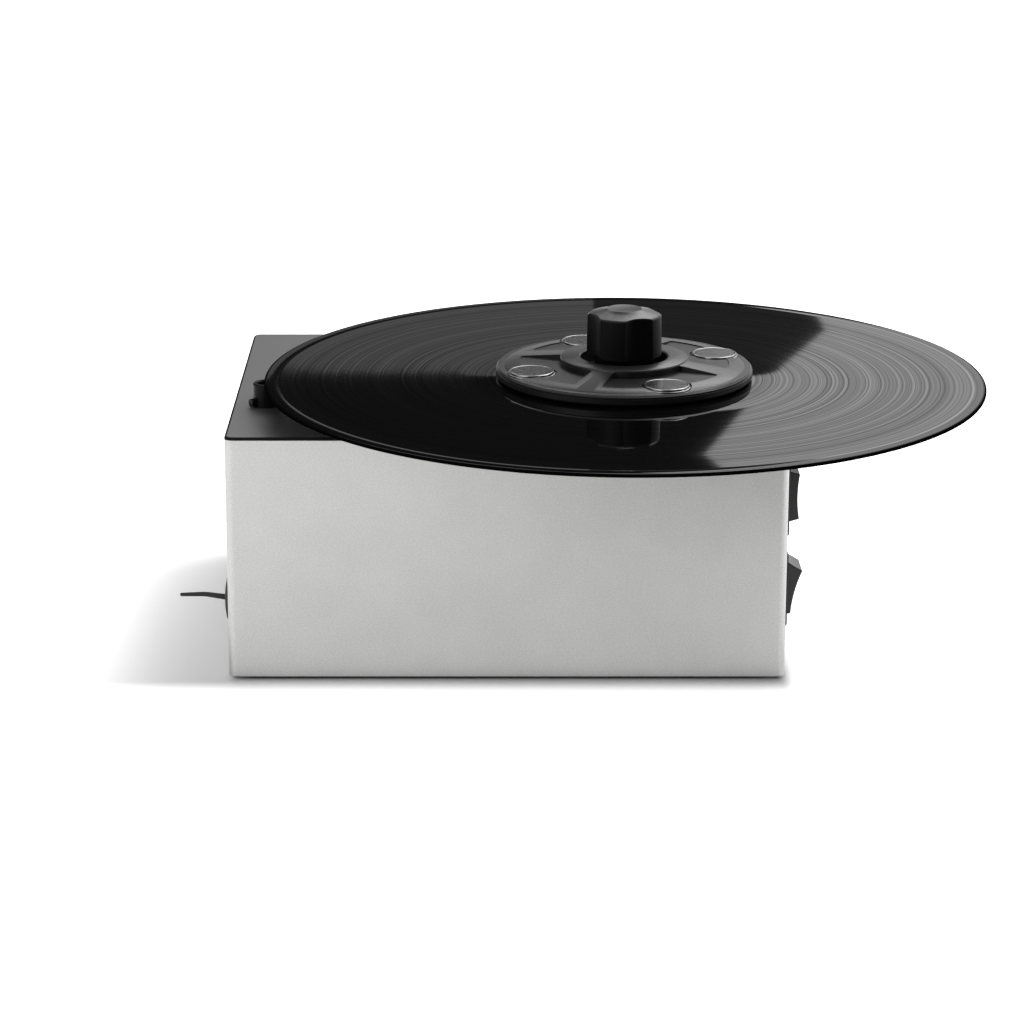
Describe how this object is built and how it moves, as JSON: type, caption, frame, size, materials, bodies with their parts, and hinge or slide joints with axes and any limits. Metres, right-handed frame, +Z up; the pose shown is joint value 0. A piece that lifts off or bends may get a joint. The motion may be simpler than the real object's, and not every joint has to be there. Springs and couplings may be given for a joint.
{
  "type": "record cleaning machine",
  "caption": "Compact record cleaning machine: aluminium case, driven platter, magnetic clamp on a record, arm socket, drain plug and rocker switches.",
  "frame": {"origin": "under the middle of the case, on the surface its feet stand on", "axes": "+X to the side with the switches, -Y to the plain front, +Z up"},
  "size_m": [0.3366, 0.3016, 0.1459],
  "materials": {
    "sleeve_aluminium": "bead-blasted, clear anodised",
    "deck_black": "satin black",
    "steel_plate": "black powder coat",
    "rubber_black": "matt",
    "post_steel": "turned",
    "screw_steel": "zinc plated",
    "spindle_steel": "ground and polished",
    "bearing_plastic": "moulded acetal",
    "motor_metal": "drawn can",
    "socket_black": "black anodised",
    "hose_rubber": "smooth",
    "tank_plastic": "natural moulded",
    "fan_plastic": "moulded",
    "foam_black": "open-cell foam",
    "switch_plastic": "fine grain",
    "rocker_plastic": "satin",
    "contact_brass": "plated",
    "board_green": "laminate",
    "component_black": "moulded",
    "fuse_glass": "clear",
    "platter_aluminium": "turned",
    "magnet_nickel": "nickel plated",
    "record_vinyl": "pressed vinyl",
    "label_paper": "plain",
    "clamp_plastic": "fine grain",
    "knob_plastic": "satin",
    "plug_rubber": "smooth"
  },
  "bodies": {
    "case": {"case_sleeve": "sleeve_aluminium", "top_deck": "deck_black", "base_plate": "steel_plate", "feet": "rubber_black", "corner_posts": "post_steel", "base_screws": "screw_steel", "spindle_bush": "bearing_plastic", "bush_screws": "screw_steel", "motor_bracket": "steel_plate", "bracket_standoffs": "post_steel", "bracket_nuts": "screw_steel", "drive_gearbox": "motor_metal", "drive_motor": "motor_metal", "arm_socket": "socket_black", "arm_socket_nut": "screw_steel", "suction_hose": "hose_rubber", "waste_tank": "tank_plastic", "tank_lid": "tank_plastic", "tank_cradle": "steel_plate", "drain_spout": "bearing_plastic", "vacuum_hose": "hose_rubber", "fan_housing": "fan_plastic", "fan_motor": "motor_metal", "fan_mount": "rubber_black", "exhaust_foam": "foam_black", "mains_inlet": "switch_plastic", "inlet_pins": "contact_brass", "power_board": "board_green", "board_spacers": "bearing_plastic", "board_parts": "component_black", "direction_switch": "switch_plastic", "vacuum_switch": "switch_plastic", "switch_terminals": "contact_brass"},
    "platter_rotor": {"gearbox_shaft": "post_steel", "shaft_coupling": "platter_aluminium", "coupling_screws": "screw_steel", "spindle_shaft": "spindle_steel", "platter": "platter_aluminium", "platter_magnets": "magnet_nickel", "platter_mat": "rubber_black"},
    "record_body": {"record": "record_vinyl", "record_labels": "label_paper"},
    "clamp_body": {"clamp_disc": "clamp_plastic", "clamp_magnets": "magnet_nickel", "clamp_seal": "rubber_black", "clamp_bush": "bearing_plastic", "clamp_knob": "knob_plastic", "clamp_screws": "screw_steel"},
    "thumbscrew_body": {"arm_thumbscrew": "socket_black"},
    "drain_plug_body": {"drain_plug": "plug_rubber"},
    "fan_rotor": {"fan_impeller": "fan_plastic"},
    "fuse_drawer_body": {"fuse_drawer": "switch_plastic", "fuse": "fuse_glass"},
    "direction_rocker_body": {"direction_rocker": "rocker_plastic"},
    "vacuum_rocker_body": {"vacuum_rocker": "rocker_plastic"}
  },
  "joints": [
    {"name": "platter_spin", "type": "hinge", "parent": "case", "child": "platter_rotor", "pos_m": [0.0493, -0.038, 0.105], "axis": [0, 0, 1], "continuous": true},
    {"name": "record_lift", "type": "slide", "parent": "platter_rotor", "child": "record_body", "axis": [0, 0, 1], "range_m": [0, 0.1]},
    {"name": "clamp_lift", "type": "slide", "parent": "record_body", "child": "clamp_body", "axis": [0, 0, 1], "range_m": [0, 0.06]},
    {"name": "thumbscrew_turn", "type": "hinge", "parent": "case", "child": "thumbscrew_body", "pos_m": [-0.10752, -0.0427, 0.1062], "axis": [-0.8192, -0.5736, 0], "range_deg": [0, 360]},
    {"name": "drain_plug_pull", "type": "slide", "parent": "case", "child": "drain_plug_body", "axis": [-1, 0, 0], "range_m": [0, 0.03]},
    {"name": "fan_spin", "type": "hinge", "parent": "case", "child": "fan_rotor", "pos_m": [-0.052, 0.046, 0.06], "axis": [0, 0, 1], "continuous": true},
    {"name": "fuse_drawer_pull", "type": "slide", "parent": "case", "child": "fuse_drawer_body", "axis": [0, 1, 0], "range_m": [0, 0.018]},
    {"name": "direction_rocker_tilt", "type": "hinge", "parent": "case", "child": "direction_rocker_body", "pos_m": [0.111, -0.0682, 0.075], "axis": [0, 1, 0], "range_deg": [-14, 14]},
    {"name": "vacuum_rocker_tilt", "type": "hinge", "parent": "case", "child": "vacuum_rocker_body", "pos_m": [0.111, -0.0682, 0.036], "axis": [0, 1, 0], "range_deg": [-28, 0]}
  ]
}
